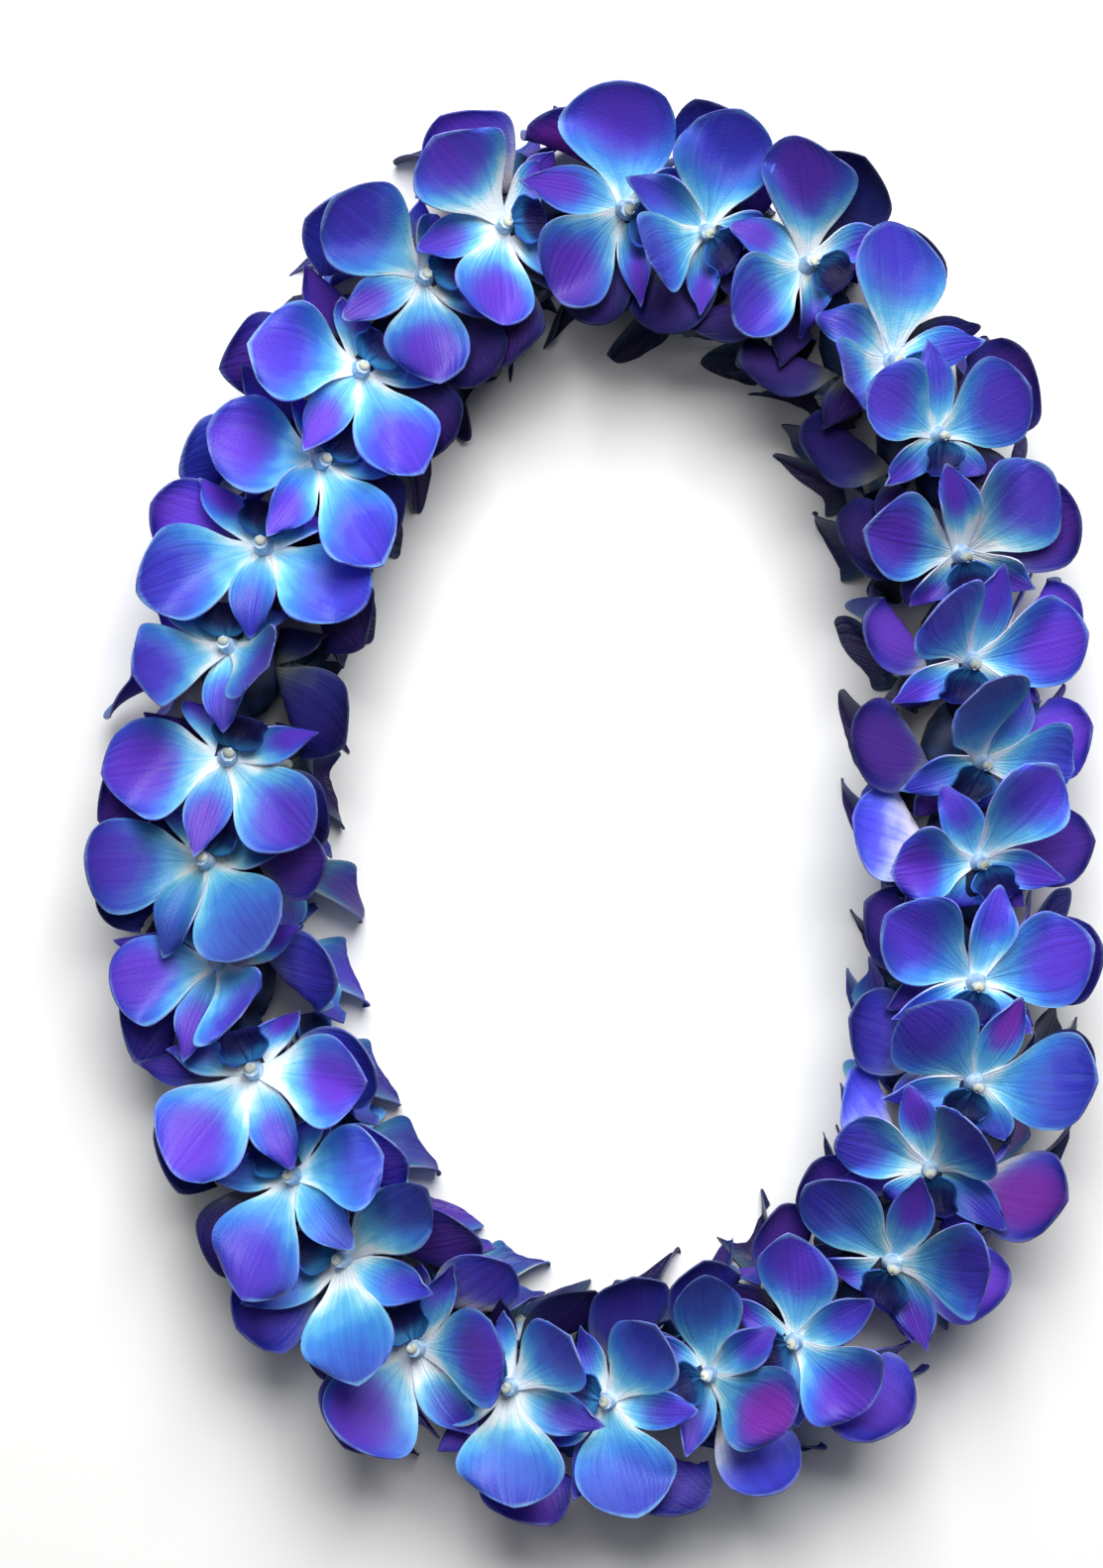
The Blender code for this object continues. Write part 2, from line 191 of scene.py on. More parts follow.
# %% Dyed petal, upper face
# Where veins, rims and the breaks in a rim begin and are full, in shares of the streaks, of the
# blade and of the clouds. Then the range of values and hues that the mood picks from, and the
# relief: how the furrows weigh against the grain, its strength, and its depth in millimetres.
WAXY_IOR = 1.4
VEIN_FROM, VEIN_FULL = 0.52, 0.72
RIM_FROM = 0.86
TIP_RIM_FROM = 0.95
BREAK_FROM, BREAK_TO = 0.38, 0.62
RIM_LEAST, RIM_MOST = 0.2, 1.8
DARKEST = 0.12
LIGHTEST = 1.20
BLUER = 0.484
REDDER = 0.500
FURROWS = -3.0
RELIEF_STRENGTH = 0.5
RELIEF_DEEP = 0.3


def petal_face(name, stops, patch, patch_size, rim, vein, shares, roughness, gloss=0.5):
    """One face of a blade: the dye, streaky veins, a broken pale rim and a waxy skin."""
    rim_share, vein_share = shares
    made, tree, shader = finish(name)
    marks = blade_marks(tree)
    colour = dyed(tree, marks, stops, patch, patch_size)
    veins = node(tree, "MapRange", {"Value": marks["streak"], "From Min": VEIN_FROM,
                                    "From Max": VEIN_FULL, "To Max": vein_share},
                 interpolation_type="SMOOTHSTEP")
    veined = node(tree, "Mix", {0: veins.outputs[0], 6: colour, 7: tone(vein)}, data_type="RGBA")
    edge = node(tree, "MapRange", {"Value": marks["across"], "From Min": RIM_FROM, "From Max": 1.0},
                interpolation_type="SMOOTHSTEP")
    tip = node(tree, "MapRange", {"Value": marks["along"], "From Min": TIP_RIM_FROM, "From Max": 1.0},
               interpolation_type="SMOOTHSTEP")
    border = node(tree, "Math", {0: edge.outputs[0], 1: tip.outputs[0]}, operation="MAXIMUM")
    broken = node(tree, "MapRange", {"Value": marks["cloud"], "From Min": BREAK_FROM,
                                     "From Max": BREAK_TO, "To Min": RIM_LEAST * rim_share,
                                     "To Max": RIM_MOST * rim_share})
    thin = node(tree, "Math", {0: border.outputs[0], 1: broken.outputs[0]}, operation="MULTIPLY")
    rimmed = node(tree, "Mix", {0: thin.outputs[0], 6: veined.outputs[2], 7: tone(rim)},
                  data_type="RGBA")
    # Some petals are darker all over, at random and as painted shade on the side columns, on the
    #     # inner side of the head end and on the petals that hang to the table; the violet ones are redder
    #     too.
    value = node(tree, "MapRange", {"Value": marks["light"], "To Min": DARKEST, "To Max": LIGHTEST})
    hue = node(tree, "MapRange", {"Value": marks["violet"], "To Min": BLUER, "To Max": REDDER})
    shade = node(tree, "HueSaturation", {"Hue": hue.outputs[0], "Value": value.outputs[0],
                                         "Color": rimmed.outputs[2]})
    relief = node(tree, "Math", {0: marks["streak"], 1: FURROWS, 2: marks["grain"]},
                  operation="MULTIPLY_ADD")
    bump = node(tree, "Bump", {"Height": relief.outputs[0], "Strength": RELIEF_STRENGTH,
                               "Distance": RELIEF_DEEP * MM})
    tree.links.new(shade.outputs[0], shader.inputs["Base Color"])
    tree.links.new(bump.outputs[0], shader.inputs["Normal"])
    shader.inputs["Roughness"].default_value = roughness
    shader.inputs["IOR"].default_value = WAXY_IOR
    shader.inputs["Specular IOR Level"].default_value = gloss
    return made


DYE = ((0.02, "#F2FCFF"), (0.10, "#B4E8F8"), (0.21, "#6CBEEE"), (0.42, "#427EE2"), (0.66, "#3E50D0"),
       (0.9, "#3B3AB8"))
upper = petal_face("dyed petal upper face", DYE, patch="#6438C8", patch_size=(0.7, 0.4),
                   rim="#8CCBF0", vein="#2A5CB0", shares=(0.30, 0.12), roughness=0.5)
print("petal face:", len(upper.node_tree.nodes), "nodes")

# %% [markdown]
# Dyed petal, underside. The backs of the blades are paler and more violet: white to lilac near the
# root, periwinkle and violet-blue further out, with the same streaks seen faintly through. It is a
# material of its own, so a curled edge shows it.

# %% Dyed petal, underside
BACK_DYE = ((0.07, "#FFFFFF"), (0.16, "#F6F4FF"), (0.235, "#C8D2FE"), (0.32, "#94A0FA"),
            (0.45, "#6E6AF2"), (0.66, "#4E42DA"), (0.92, "#3226A2"))
under = petal_face("dyed petal underside", BACK_DYE, patch="#8450EE", patch_size=(0.60, 0.44),
                   rim="#AAB6FC", vein="#3A32B8", shares=(0.28, 0.05), roughness=0.5)
print("petal materials:", upper.name, "and", under.name)

# %% [markdown]
# Lip. The third petal of an orchid is its landing stage. It has taken the most dye, so it is navy,
# with blue streaks and a brighter blue edge, and its inside, where it forms a pit, is painted near
# black as shade. It is velvety, so it is rough and its gloss is low.

# %% Lip
LIP_DYE_AND_SHADE = ((0.0, "#183E8C"), (0.10, "#0C145C"), (0.32, "#06063A"), (0.65, "#08084A"), (0.9, "#2828A8"))
LIP_BACK = ((0.0, "#2C6CA4"), (0.25, "#16286C"), (0.6, "#100E4A"), (0.95, "#241C7C"))
# The lip's near-black middle patch and ramp are painted shade of its pit, over its navy dye.
lip_upper = petal_face("lip upper face, dyed and painted shade", LIP_DYE_AND_SHADE, patch="#06042A", patch_size=(0.40, 0.5),
                       rim="#4A60DC", vein="#1E52A0", shares=(0.6, 0.22), roughness=0.7, gloss=0.15)
lip_under = petal_face("dyed lip underside", LIP_BACK, patch="#140C48", patch_size=(0.6, 0.5),
                       rim="#3A5CC0", vein="#101850", shares=(0.6, 0.3), roughness=0.6, gloss=0.3)
print("lip materials:", lip_upper.name, "and", lip_under.name)

# %% [markdown]
# Column, anther cap and stalk. These are thick and fleshy. The column and its cap take up little
# dye: the cap is a pale green-white, the column a pale blue. The neck and stalk are drawn as dark as
# the shade between the flowers looks. All three are drawn on Object coordinates, as nothing on them
# follows an edge, with a soft mottling. On the cap it is far wider than the cap itself, so that each
# cap of the lei has a tone of its own.

# %% Column, cap and stalk
# Where the two tones of the mottling are pure, and the relief of the skin in millimetres.
MOTTLE_FROM, MOTTLE_TO = 0.35, 0.68
FLESH_STRENGTH = 0.4
FLESH_DEEP = 0.3


def fleshy(name, pale, deep, scale, roughness):
    """A thick part of the bloom: two tones in soft mottling."""
    made, tree, shader = finish(name)
    place = node(tree, "TexCoord")
    mottle = node(tree, "TexNoise", {"Vector": place.outputs["Object"], "Scale": scale, "Detail": 2.0})
    mixed = node(tree, "ValToRGB", {"Fac": mottle.outputs["Fac"]},
                 stops=((MOTTLE_FROM, pale), (MOTTLE_TO, deep)))
    tree.links.new(mixed.outputs["Color"], shader.inputs["Base Color"])
    shader.inputs["Roughness"].default_value = roughness
    shader.inputs["IOR"].default_value = WAXY_IOR
    bump = node(tree, "Bump", {"Height": mottle.outputs["Fac"], "Strength": FLESH_STRENGTH,
                               "Distance": FLESH_DEEP * MM})
    tree.links.new(bump.outputs[0], shader.inputs["Normal"])
    return made


# Mottling about 2.5 mm wide on the column, 17 mm on the cap and 6 mm on the stalk.
column_skin = fleshy("orchid column", "#C4DAE8", "#7CA2CC", scale=420.0, roughness=0.5)
cap_skin = fleshy("anther cap", "#E0E4D0", "#8A968C", scale=60.0, roughness=0.5)
# The stalk's near-black navy is painted shade, not its own colour.
stalk_shade_skin = fleshy("flower stalk in painted shade", "#10284E", "#050720", scale=160.0, roughness=0.6)
print("fleshy materials:", column_skin.name, cap_skin.name, stalk_shade_skin.name)

# %% [markdown]
# Cotton thread. It is matt and off-white, with a fine grain of fibres a third of a millimetre wide.
# The twist itself is modelled.

# %% Cotton thread
FIBRE_SCALE = 3000.0
FIBRE_DEEP = 0.1
MATT = 0.9
cotton, cotton_tree, cotton_shader = finish("cotton thread")
cotton_place = node(cotton_tree, "TexCoord")
fibres = node(cotton_tree, "TexNoise", {"Vector": cotton_place.outputs["Object"], "Scale": FIBRE_SCALE})
cotton_mix = node(cotton_tree, "ValToRGB", {"Fac": fibres.outputs["Fac"]},
                  stops=((0.3, "#C9C7BA"), (0.7, "#E8E6DC")))
cotton_tree.links.new(cotton_mix.outputs["Color"], cotton_shader.inputs["Base Color"])
cotton_shader.inputs["Roughness"].default_value = MATT
fibre_bump = node(cotton_tree, "Bump", {"Height": fibres.outputs["Fac"], "Distance": FIBRE_DEEP * MM})
cotton_tree.links.new(fibre_bump.outputs[0], cotton_shader.inputs["Normal"])
print("thread material:", cotton.name)

# %% [markdown]
# The loop. The lei lies in an oval with slightly pointed ends, laid by hand and so a little uneven.
# These are the same numbers as in the source of the solids, because the fine blooms have to stand
# exactly where the solids do. The oval is measured off in a table of its arc length.

# %% The loop
# All lengths are in millimetres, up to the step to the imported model.
HALF_WIDTH = 111.7
HALF_LENGTH = 158.8
END_POINT = 7.6
END_TURNS = 3
# Each wave that makes the oval uneven: its turns, its size and where it starts, in degrees.
UNEVEN = ((-2, 1.8, -133.0), (-4, 1.4, 179.0), (4, 1.2, 149.0))
WHORLS = 30
COLUMNS = 3
SAMPLES = 1440
# How far to either side of a point its heading and its bend are measured.
HEADING_REACH = 4.0
BEND_STEP = 6.0
# The height of the thread, and how far the whole lei is then lowered onto the table.
AXIS_Z = 14.5
TABLE = 0.3


def oval(t):
    """The point of the oval at share t of a turn."""
    a = 2 * math.pi * t
    x = HALF_WIDTH * math.cos(a) - END_POINT * math.cos(END_TURNS * a)
    y = HALF_LENGTH * math.sin(a) - END_POINT * math.sin(END_TURNS * a)
    for turns, size, start in UNEVEN:
        x += size * math.cos(turns * a + math.radians(start))
        y += size * math.sin(turns * a + math.radians(start))
    return x, y


ring = [oval(i / SAMPLES) for i in range(SAMPLES + 1)]
arc = [0.0]
for i in range(SAMPLES):
    arc.append(arc[-1] + math.dist(ring[i], ring[i + 1]))
LOOP = arc[-1]
PITCH = LOOP / WHORLS


def on_loop(s):
    """The point of the loop at arc length s."""
    s %= LOOP
    low, high = 0, SAMPLES
    while high - low > 1:
        mid = (low + high) // 2
        if arc[mid] <= s:
            low = mid
        else:
            high = mid
    t = (s - arc[low]) / (arc[high] - arc[low])
    (x0, y0), (x1, y1) = ring[low], ring[high]
    return Vector((x0 + (x1 - x0) * t, y0 + (y1 - y0) * t))


def heading(s):
    """The way the loop runs at s, as an angle."""
    d = on_loop(s + HEADING_REACH) - on_loop(s - HEADING_REACH)
    return math.atan2(d.y, d.x)


def bend(s):
    """How sharply the loop turns at s, in radians a millimetre."""
    turn = heading(s + BEND_STEP) - heading(s - BEND_STEP)
    return ((turn + math.pi) % (2 * math.pi) - math.pi) / (2 * BEND_STEP)


# Beyond this reach from the thread the petals lean on each other and are held in, softly.
REACH = 26.0
REACH_SOFT = 6.0
REACH_LEFT = 0.42


def held_in(out):
    """A reach out of the loop, shortened where it is long."""
    more = abs(out) - REACH
    if more < 0:
        return out
    soft = (1 - REACH_LEFT) * REACH_SOFT * math.tanh(more / REACH_SOFT)
    return math.copysign(REACH + REACH_LEFT * more + soft, out)


def in_tube(s, out, up):
    """A point of the tube of flowers, from its arc length, its reach out of the loop and its height."""
    out = held_in(out)
    c = on_loop(s)
    a = heading(s)
    return Vector((c.x + math.sin(a) * out, c.y - math.cos(a) * out, up))


print("loop length, mm:", round(LOOP, 1), "pitch of the whorls, mm:", round(PITCH, 2))

# %% [markdown]
# The solids were set with the middle of their box over the origin. The thread is the same closed
# cord in both, so the shift is found by laying its points out here and comparing the two boxes.

# %% Shift from the loop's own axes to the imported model
THREAD_R = 0.55
# The cord of the solids has five corners, and its widest ones stand this far round, in degrees.
WIDEST_CORNER = 72.0
# It is laid in three straight steps to a whorl.
STEPS_A_WHORL = 3
side_reach = THREAD_R * math.sin(math.radians(WIDEST_CORNER))
cord = [in_tube(i * PITCH / STEPS_A_WHORL, side, AXIS_Z)
        for i in range(WHORLS * STEPS_A_WHORL) for side in (-side_reach, side_reach)]
low_corner, high_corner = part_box("thread")
own_x = (min(p.x for p in cord) + max(p.x for p in cord)) / 2
own_y = (min(p.y for p in cord) + max(p.y for p in cord)) / 2
SHIFT = Vector(((low_corner.x + high_corner.x) / 2 / MM - own_x,
                (low_corner.y + high_corner.y) / 2 / MM - own_y, -TABLE))
print("shift, mm:", [round(v, 2) for v in SHIFT])


def to_model(point):
    """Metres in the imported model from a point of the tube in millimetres, lowered onto the table."""
    p = point + SHIFT
    return Vector((p.x, p.y, max(p.z, 0.0))) * MM


# %% [markdown]
# How the table presses the flowers. Blooms under the thread carry the weight of the rest, so below
# a certain height everything is squeezed, and just above the table it settles flat.

# %% Pressing and the columns
# Below PRESS_FROM, measured from the thread, heights are squeezed to a share of PRESS. Below SETTLE,
# measured from the table, they settle towards SETTLE_FLOOR.
PRESS_FROM = -6.0
PRESS = 0.6
SETTLE = 1.2
SETTLE_FLOOR = 0.5
# The columns of blooms lean and sway round the thread by these angles, in degrees.
COLUMN_LEAN = 3.0
COLUMN_SWAY = 6.0
SWAY_START = 0.1
COLUMN_TURNS = (0.0, 98.0, -98.0)


def pressed(up):
    """Height above the table of what stands up above the thread's axis by that much."""
    if up < PRESS_FROM:
        up = PRESS_FROM + PRESS * (up - PRESS_FROM)
    z = up + AXIS_Z
    if z < SETTLE:
        room = SETTLE - SETTLE_FLOOR
        z = SETTLE_FLOOR + room * math.exp((z - SETTLE) / room)
    return z


def column_angle(s, column):
    """Where the middle of a column of blooms stands round the thread at s, 0 being straight up."""
    sway = COLUMN_SWAY * math.sin(2 * math.pi * (2 * s / LOOP + SWAY_START))
    return math.radians(COLUMN_LEAN + sway + COLUMN_TURNS[column])


print("20 mm below the thread is pressed to, mm:", round(pressed(-20.0), 2))

# %% [markdown]
# One bloom's place. Each bloom has a face of its own: x points to the tip of the dorsal sepal, y to
# the side, and above stands off its sheet. Two steps lay that face on the tube of flowers: at()
# sizes, turns and tips it, and place() wraps it round the thread within its third of the tube. The
# random draws are made in the same order as in the source, from the same seed.

# %% One bloom's place
# The seed of a bloom is made of its whorl, its column and one number for the whole lei.
WHORL_SEED = 1000
COLUMN_SEED = 10
SEED = 40
# How far from the thread the middle of a bloom stands, for each column.
HUB_RADII = (14.0, 11.0, 11.0)
# The face is a shallow cone: steep in front, where it overlaps the next whorl, and flat behind.
FRONT_RISE = 0.6
BACK_RISE = 0.1
BACK_REACH = 14.5
# The side columns turn their faces up to the light.
FACE_UP = (0.0, -0.55, 0.55)
# Each column's share of the tube, in degrees to either side, and how its edge is folded in there.
SHARES = ((50.0, 50.0), (48.0, 82.0), (82.0, 48.0))
CLEAR = 0.7
FOLD = 1.5
LAYER = 0.11
# How much the blooms of a column differ from each other, and the most that each turn can be.
LOOSE = (1.4, 1.0, 0.9)
SLIDE = 3.2
ROLL = 10.0
YAW = 24.0
SMALLEST, LARGEST = 0.89, 1.06
TIP_FORWARD = 0.08
TIP_SIDEWAYS = 0.10
BEND_REACH = 20.0


class Bloom:
    """Where one bloom sits and how it differs from its neighbours."""

    def __init__(self, whorl, column):
        rng = random.Random(WHORL_SEED * whorl + COLUMN_SEED * column + SEED)
        self.rng = rng
        self.whorl = whorl
        self.column = column
        self.s = (whorl + 0.5) * PITCH + rng.uniform(-SLIDE, SLIDE)
        loose = LOOSE[column]
        self.around = column_angle(self.s, column) + math.radians(ROLL * loose * rng.uniform(-1.0, 1.0))
        self.yaw = math.radians(YAW * loose * rng.uniform(-1.0, 1.0))
        self.size = rng.uniform(SMALLEST, LARGEST)
        self.tilt_x = TIP_FORWARD * loose * rng.uniform(-1.0, 1.0)
        self.tilt_y = TIP_SIDEWAYS * loose * rng.uniform(-1.0, 1.0) + FACE_UP[column]
        self.stretch = 1 + bend(self.s) * BEND_REACH * math.sin(self.around)

    def at(self, x, y, above):
        """A point of the bloom at x, y in its own face and above its sheet."""
        x, y, above = x * self.size, y * self.size, above * self.size
        c, n = math.cos(self.yaw), math.sin(self.yaw)
        x, y = x * c - y * n, x * n + y * c
        rise = FRONT_RISE / min(1.0, self.stretch) if x > 0 else BACK_RISE
        radius = HUB_RADII[self.column] + rise * x + self.tilt_x * x + self.tilt_y * y + above
        return self.place(x, y, radius)

    def place(self, x, y, radius):
        """Wraps a point round the thread and keeps it in the bloom's share of the tube."""
        along = x / self.stretch
        if along < 0:
            along = BACK_REACH * math.tanh(along / BACK_REACH)
        s = self.s + along
        c, n = math.cos(self.around), math.sin(self.around)
        out = radius * n - y * c
        up = radius * c + y * n
        middle = column_angle(s, self.column)
        c, n = math.cos(middle), math.sin(middle)
        side = out * c - up * n
        radius = out * n + up * c
        share = math.radians(SHARES[self.column][side > 0])
        room = CLEAR + LAYER * max(0.0, x + BACK_REACH)
        least = (abs(side) * math.cos(share) + room) / math.sin(share)
        radius = (radius + least + math.hypot(radius - least, FOLD)) / 2
        return in_tube(s, radius * n + side * c, pressed(radius * c - side * n))


print("first bloom's middle, mm:", [round(v, 1) for v in Bloom(0, 0).at(0.0, 0.0, 0.0)])

# %% [markdown]
# Blades. Petals and sepals start as a flat grid, like a piece cut from cloth. Its columns run from
# the root to the tip and its rows across, so each vertex knows its place u, t in the blade. A width
# table and a rounded tip give the outline, and cupping, curl and ruffles bend it. The grids are
# joined in one pattern of six blades, and each bloom takes a copy and bends it its own way.

# %% The pattern of six blades
PETAL_GRID = (12, 16)
SEPAL_GRID = (8, 12)
LIP_GRID = (12, 11)
SIDE_SEPALS = (3, 4)
LIP = 5


def clear_selection():
    """Deselects everything, so that an operator acts only on what is picked next."""
    for other in bpy.context.selected_objects:
        other.select_set(False)


def grid_sheet(number, across, along):
    """A flat grid from -1 to 1 each way, its vertices marked with the number of the blade."""
    clear_selection()
    bpy.ops.mesh.primitive_grid_add(x_subdivisions=across, y_subdivisions=along, size=2)
    made = bpy.context.object
    mark = made.data.attributes.new("blade", "INT", "POINT")
    for item in mark.data:
        item.value = number
    return made


def join(objects, name):
    """Joins objects into the first one."""
    clear_selection()
    for each in objects:
        each.select_set(True)
    bpy.context.view_layer.objects.active = objects[0]
    bpy.ops.object.join()
    objects[0].name = name
    objects[0].data.name = name
    return objects[0]


grids = (PETAL_GRID, SEPAL_GRID, PETAL_GRID, SEPAL_GRID, SEPAL_GRID, LIP_GRID)
pattern = join([grid_sheet(number, *size) for number, size in enumerate(grids)], "blade_pattern")
# Laying the sheet on the tube turns it over, so its own faces look down, and the faces that Solidify
# adds on the other side, in the next material, look up.
for slot in (under, upper, lip_under, lip_upper):
    pattern.data.materials.append(slot)
blade_of = [item.value for item in pattern.data.attributes["blade"].data]
for face in pattern.data.polygons:
    face.material_index = 2 if blade_of[face.vertices[0]] == LIP else 0
print("blade pattern:", len(pattern.data.polygons), "faces")

# %% [markdown]
# The outlines. A petal is a broad spoon on a narrow claw, widest at two thirds. A sepal is a lance
# head. Widths are shares of half the blade's greatest width, at six places from root to tip.

# %% Outlines
ROOT = 0.05
POINT = 0.03
PETAL_WIDTHS = (0.16, 0.40, 0.80, 1.0, 0.96, 0.68)
SEPAL_WIDTHS = (0.36, 0.66, 0.94, 0.98, 0.78, 0.38)
PETAL_ROUND = 0.13
SEPAL_ROUND = 0.11

SEPAL_LONG = 25.5
SEPAL_WIDE = 13.0
SIDE_SEPAL_LONG = 26.5
PETAL_LONG = 32.0
PETAL_WIDE = 26.0
PETAL_ANGLE = 65.0
SIDE_SEPAL_ANGLE = 136.0

# The turn, stretch, lift and wave that a blade may have, drawn as in the source of the solids.
BLADE_TURN = 3.0
BLADE_STRETCH = 0.05
BLADE_LIFT = 1.0
BLADE_WAVE = 1.3
# The share of a column's petals that are still half closed, and how far those lean up and curl.
CLOSING = (0.45, 0.05, 0.05)
LEAN = 0.4
CURL = 1.0
CLOSED_CUP = 4.0
# What is too fine for the solids, in millimetres: cupping, now and then deep, a curled tip, ruffled
# edges, and a blade that is lopsided or ends in a point.
CUPPING = (-0.6, 3.2)
DEEP_CUP, DEEP_CUP_DRAW = 7.0, (-2.0, 1.0)
TIP_CURL = (-6.5, 3.5)
CURL_FROM, CURL_GROWTH = 0.6, 6.0
TROUGH_FROM, TROUGH_RUN = 0.1, 0.85
RUFFLE = (0.4, 1.8)
RUFFLE_WAVES, RUFFLE_SHIFT = 9.0, 2.0
LOPSIDED = 0.05
POINTED = 0.06
# About a full turn in radians, within which the waves start.
TURN = 6.3
# Each blade: its angle, length, width, widths, tip, the arch that the solids have, and its cupping.
BLADES = (
    (-PETAL_ANGLE, PETAL_LONG, PETAL_WIDE, PETAL_WIDTHS, PETAL_ROUND, (2.5, -1.5), 2.6),
    (0.0, SEPAL_LONG, SEPAL_WIDE, SEPAL_WIDTHS, SEPAL_ROUND, (0.0, -2.5), 1.5),
    (PETAL_ANGLE, PETAL_LONG, PETAL_WIDE, PETAL_WIDTHS, PETAL_ROUND, (2.5, -1.5), 2.6),
    (SIDE_SEPAL_ANGLE, SIDE_SEPAL_LONG, SEPAL_WIDE, SEPAL_WIDTHS, SEPAL_ROUND, (0.8, 0.0), 1.2),
    (-SIDE_SEPAL_ANGLE, SIDE_SEPAL_LONG, SEPAL_WIDE, SEPAL_WIDTHS, SEPAL_ROUND, (0.8, 0.0), 1.2),
)


def smooth(table, t):
    """A soft curve through evenly spaced values, at t from 0 to 1."""
    place = min(max(t, 0.0), 1.0) * (len(table) - 1)
    k = min(int(place), len(table) - 2)
    f = place - k
    a, b = table[k], table[k + 1]
    before = table[k - 1] if k > 0 else 2 * a - b
    after = table[k + 2] if k + 2 < len(table) else 2 * b - a
    return b * f + a * (1 - f) + f * (1 - f) * ((1 - f) * (2 * a - b - before) + f * (2 * b - a - after)) / 2


def bent(t, lean, curl):
    """How far along and above the face a share t of a blade's length reaches, if it leans up and curls."""
    if curl == 0.0:
        return t, 0.0
    end = lean + curl * t
    return (math.sin(end) - math.sin(lean)) / curl, (math.cos(lean) - math.cos(end)) / curl


class Blade:
    """One petal or sepal of one bloom, with the turns and bends of its own."""

    def __init__(self, kind, rng, fine, closing):
        self.angle, self.long, self.wide, self.widths, self.round_tip, self.arch, self.cup = kind
        self.angle = math.radians(self.angle + rng.uniform(-BLADE_TURN, BLADE_TURN))
        self.long *= rng.uniform(1 - BLADE_STRETCH, 1 + BLADE_STRETCH)
        self.arch = (self.arch[0] + rng.uniform(-BLADE_LIFT, BLADE_LIFT), self.arch[1])
        self.wave = rng.uniform(-BLADE_WAVE, BLADE_WAVE)
        self.closed = max(0.0, 1 - rng.uniform(0.0, 1.0) / closing) if self.widths is PETAL_WIDTHS else 0.0
        self.cup *= fine.uniform(*CUPPING)
        self.cup += DEEP_CUP * max(0.0, fine.uniform(*DEEP_CUP_DRAW))
        self.curl = fine.uniform(*TIP_CURL)
        self.ruffle = fine.uniform(*RUFFLE)
        self.start = fine.uniform(0.0, TURN)
        self.skew = fine.uniform(-LOPSIDED, LOPSIDED)
        self.point_long = fine.uniform(0.0, POINTED)

    def point(self, u, t):
        """The blade's point at u across and t along, in the bloom's face."""
        along = ROOT + (1 + POINT - ROOT) * t - self.round_tip * t * t * u * u
        along += self.skew * u * math.sin(math.pi * t)
        across = u * smooth(self.widths, t)
        above = self.arch[0] * along + self.arch[1] * along * along + self.wave * across * along
        along, rise = bent(along, LEAN * self.closed, CURL * self.closed)
        above += self.long * rise
        trough = math.sin(math.pi * min(1.0, TROUGH_FROM + TROUGH_RUN * t))
        above += (self.cup + CLOSED_CUP * self.closed) * across * across * trough
        above += self.curl * max(0.0, t - CURL_FROM) ** 2 * CURL_GROWTH
        along += self.point_long * (1 - abs(u)) ** 2 * t ** 6
        shift = RUFFLE_SHIFT if u > 0 else 0.0
        above += self.ruffle * abs(u) ** 3 * t * math.sin(self.start + RUFFLE_WAVES * t + shift)
        x, y = self.long * along, self.wide / 2 * across
        c, n = math.cos(self.angle), math.sin(self.angle)
        return x * c - y * n, x * n + y * c, above


print("blades with an outline:", len(BLADES))

# %% [markdown]
# The lip. It starts as a narrow claw under the column, spreads into two side lobes that stand up
# beside it like the walls of a trough, and ends in a rounded middle lobe with a frilled edge. The
# two side sepals lie behind it, so they are held down where it crosses them.

# %% The lip
# Where it starts in the face and how far it reaches, in millimetres, then its half widths and
# heights from the claw to the tip, and how its sides, ribs and frill are shaped.
LIP_START = -3.0
LIP_REACH = 14.5
LIP_HALF_WIDTHS = (3.4, 7.4, 8.6, 7.6, 6.6, 6.8, 4.4)
LIP_HEIGHTS = (3.0, 2.2, 2.0, 2.2, 2.8, 3.4, 3.4)
LIP_ROUND = 1.6
LIP_WALL = 4.6
LIP_PINCH = 0.16
LOBES_AT, LOBES_LONG = 0.35, 0.38
LIP_RIB = 0.5
RIBS = 5
FRILL_WAVES = 16.0
LIP_CLEAR = 1.0
LIP_SPARE = 0.9


def side_lobes(t):
    """How much of the side lobes' rise there is at t along the lip."""
    return math.exp(-((t - LOBES_AT) / LOBES_LONG) ** 2)


def lip_point(u, t, frill, start):
    """The lip's point at u across and t along, in the bloom's face."""
    lobes = side_lobes(t)
    x = LIP_START - LIP_REACH * t + LIP_ROUND * t * t * u * u
    y = u * smooth(LIP_HALF_WIDTHS, t) * (1 - LIP_PINCH * lobes * abs(u))
    above = smooth(LIP_HEIGHTS, t) + LIP_WALL * lobes * u * u
    above += LIP_RIB * math.cos(RIBS * math.pi * u) * math.exp(-RIBS * u * u) * (1 - t)
    above += frill * abs(u) ** 3 * t * math.sin(start + FRILL_WAVES * t)
    return x, y, above


def lip_room(x, y):
    """How high a side sepal may rise at x, y without coming through the lip above it."""
    t = min(max((LIP_START - x) / LIP_REACH, 0.0), 1.0)
    u = y / (LIP_SPARE * smooth(LIP_HALF_WIDTHS, t))
    beyond = max(0.0, LIP_START - LIP_REACH - x)
    return smooth(LIP_HEIGHTS, t) + LIP_WALL * side_lobes(t) * u * u + beyond - LIP_CLEAR


print("lip, mm long:", LIP_REACH, "and wide:", 2 * max(LIP_HALF_WIDTHS))

# %% [markdown]
# The column and its cap. The column is the fused heart of the orchid: a short hooded post. A
# circle of eight corners is extruded upwards and narrowed at each step. The cap is a small ball,
# flattened, set on its tip and leaning over the lip.

